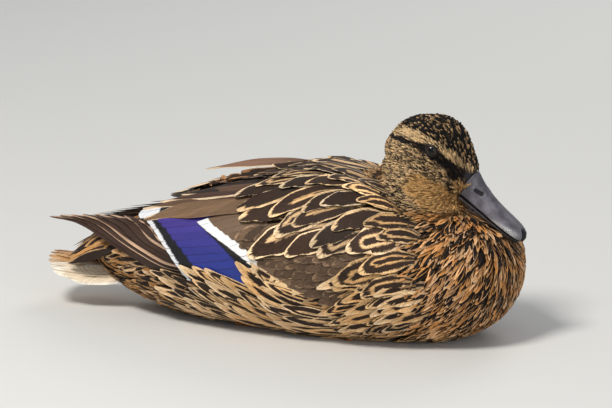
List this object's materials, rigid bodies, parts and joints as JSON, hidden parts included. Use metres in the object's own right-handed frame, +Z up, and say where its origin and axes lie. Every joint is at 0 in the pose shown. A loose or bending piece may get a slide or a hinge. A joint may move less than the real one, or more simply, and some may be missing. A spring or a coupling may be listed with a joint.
{
  "type": "female mallard duck, resting on its belly, still display model",
  "caption": "Life-size resting female mallard: body on its belly, neck drawn in, bill down on the breast, wings folded over a fanned tail.",
  "frame": {"origin": "on the floor, in the middle of the flat of the belly's contact, in the bird's plane of symmetry", "axes": "+X from the tail to the breast, +Y to the bird's left, +Z up"},
  "size_m": [0.338, 0.133, 0.1454],
  "materials": {
    "plumage": "buff and dark brown body feathers, matt, softly barred",
    "flight_feathers": "brown wing feathers with pale edges, low sheen along the barbs",
    "speculum": "glossy blue-violet wing patch between black and white bars",
    "tail_feathers": "cream tail feathers with brown shafts and markings",
    "bill": "slate-grey skin over horn, satin, finely wrinkled",
    "bill_nail": "black horn, worn satin",
    "eye": "wet dark brown eye",
    "foot_skin": "orange scaly skin, darker on the webs"
  },
  "bodies": {
    "root": {"head": "plumage", "neck": "plumage", "trunk": "plumage", "bill_upper": "bill", "bill_lower": "bill", "bill_nail": "bill_nail", "eye_right": "eye", "eye_left": "eye", "wing_right": "plumage", "wing_left": "plumage", "tertials_right": "flight_feathers", "tertials_left": "flight_feathers", "tertial_left_lifted": "flight_feathers", "secondaries_right": "speculum", "secondaries_left": "speculum", "primaries_right": "flight_feathers", "primaries_left": "flight_feathers", "tail": "tail_feathers", "leg_right": "foot_skin", "leg_left": "foot_skin", "foot_right": "foot_skin", "foot_left": "foot_skin"}
  },
  "joints": []
}
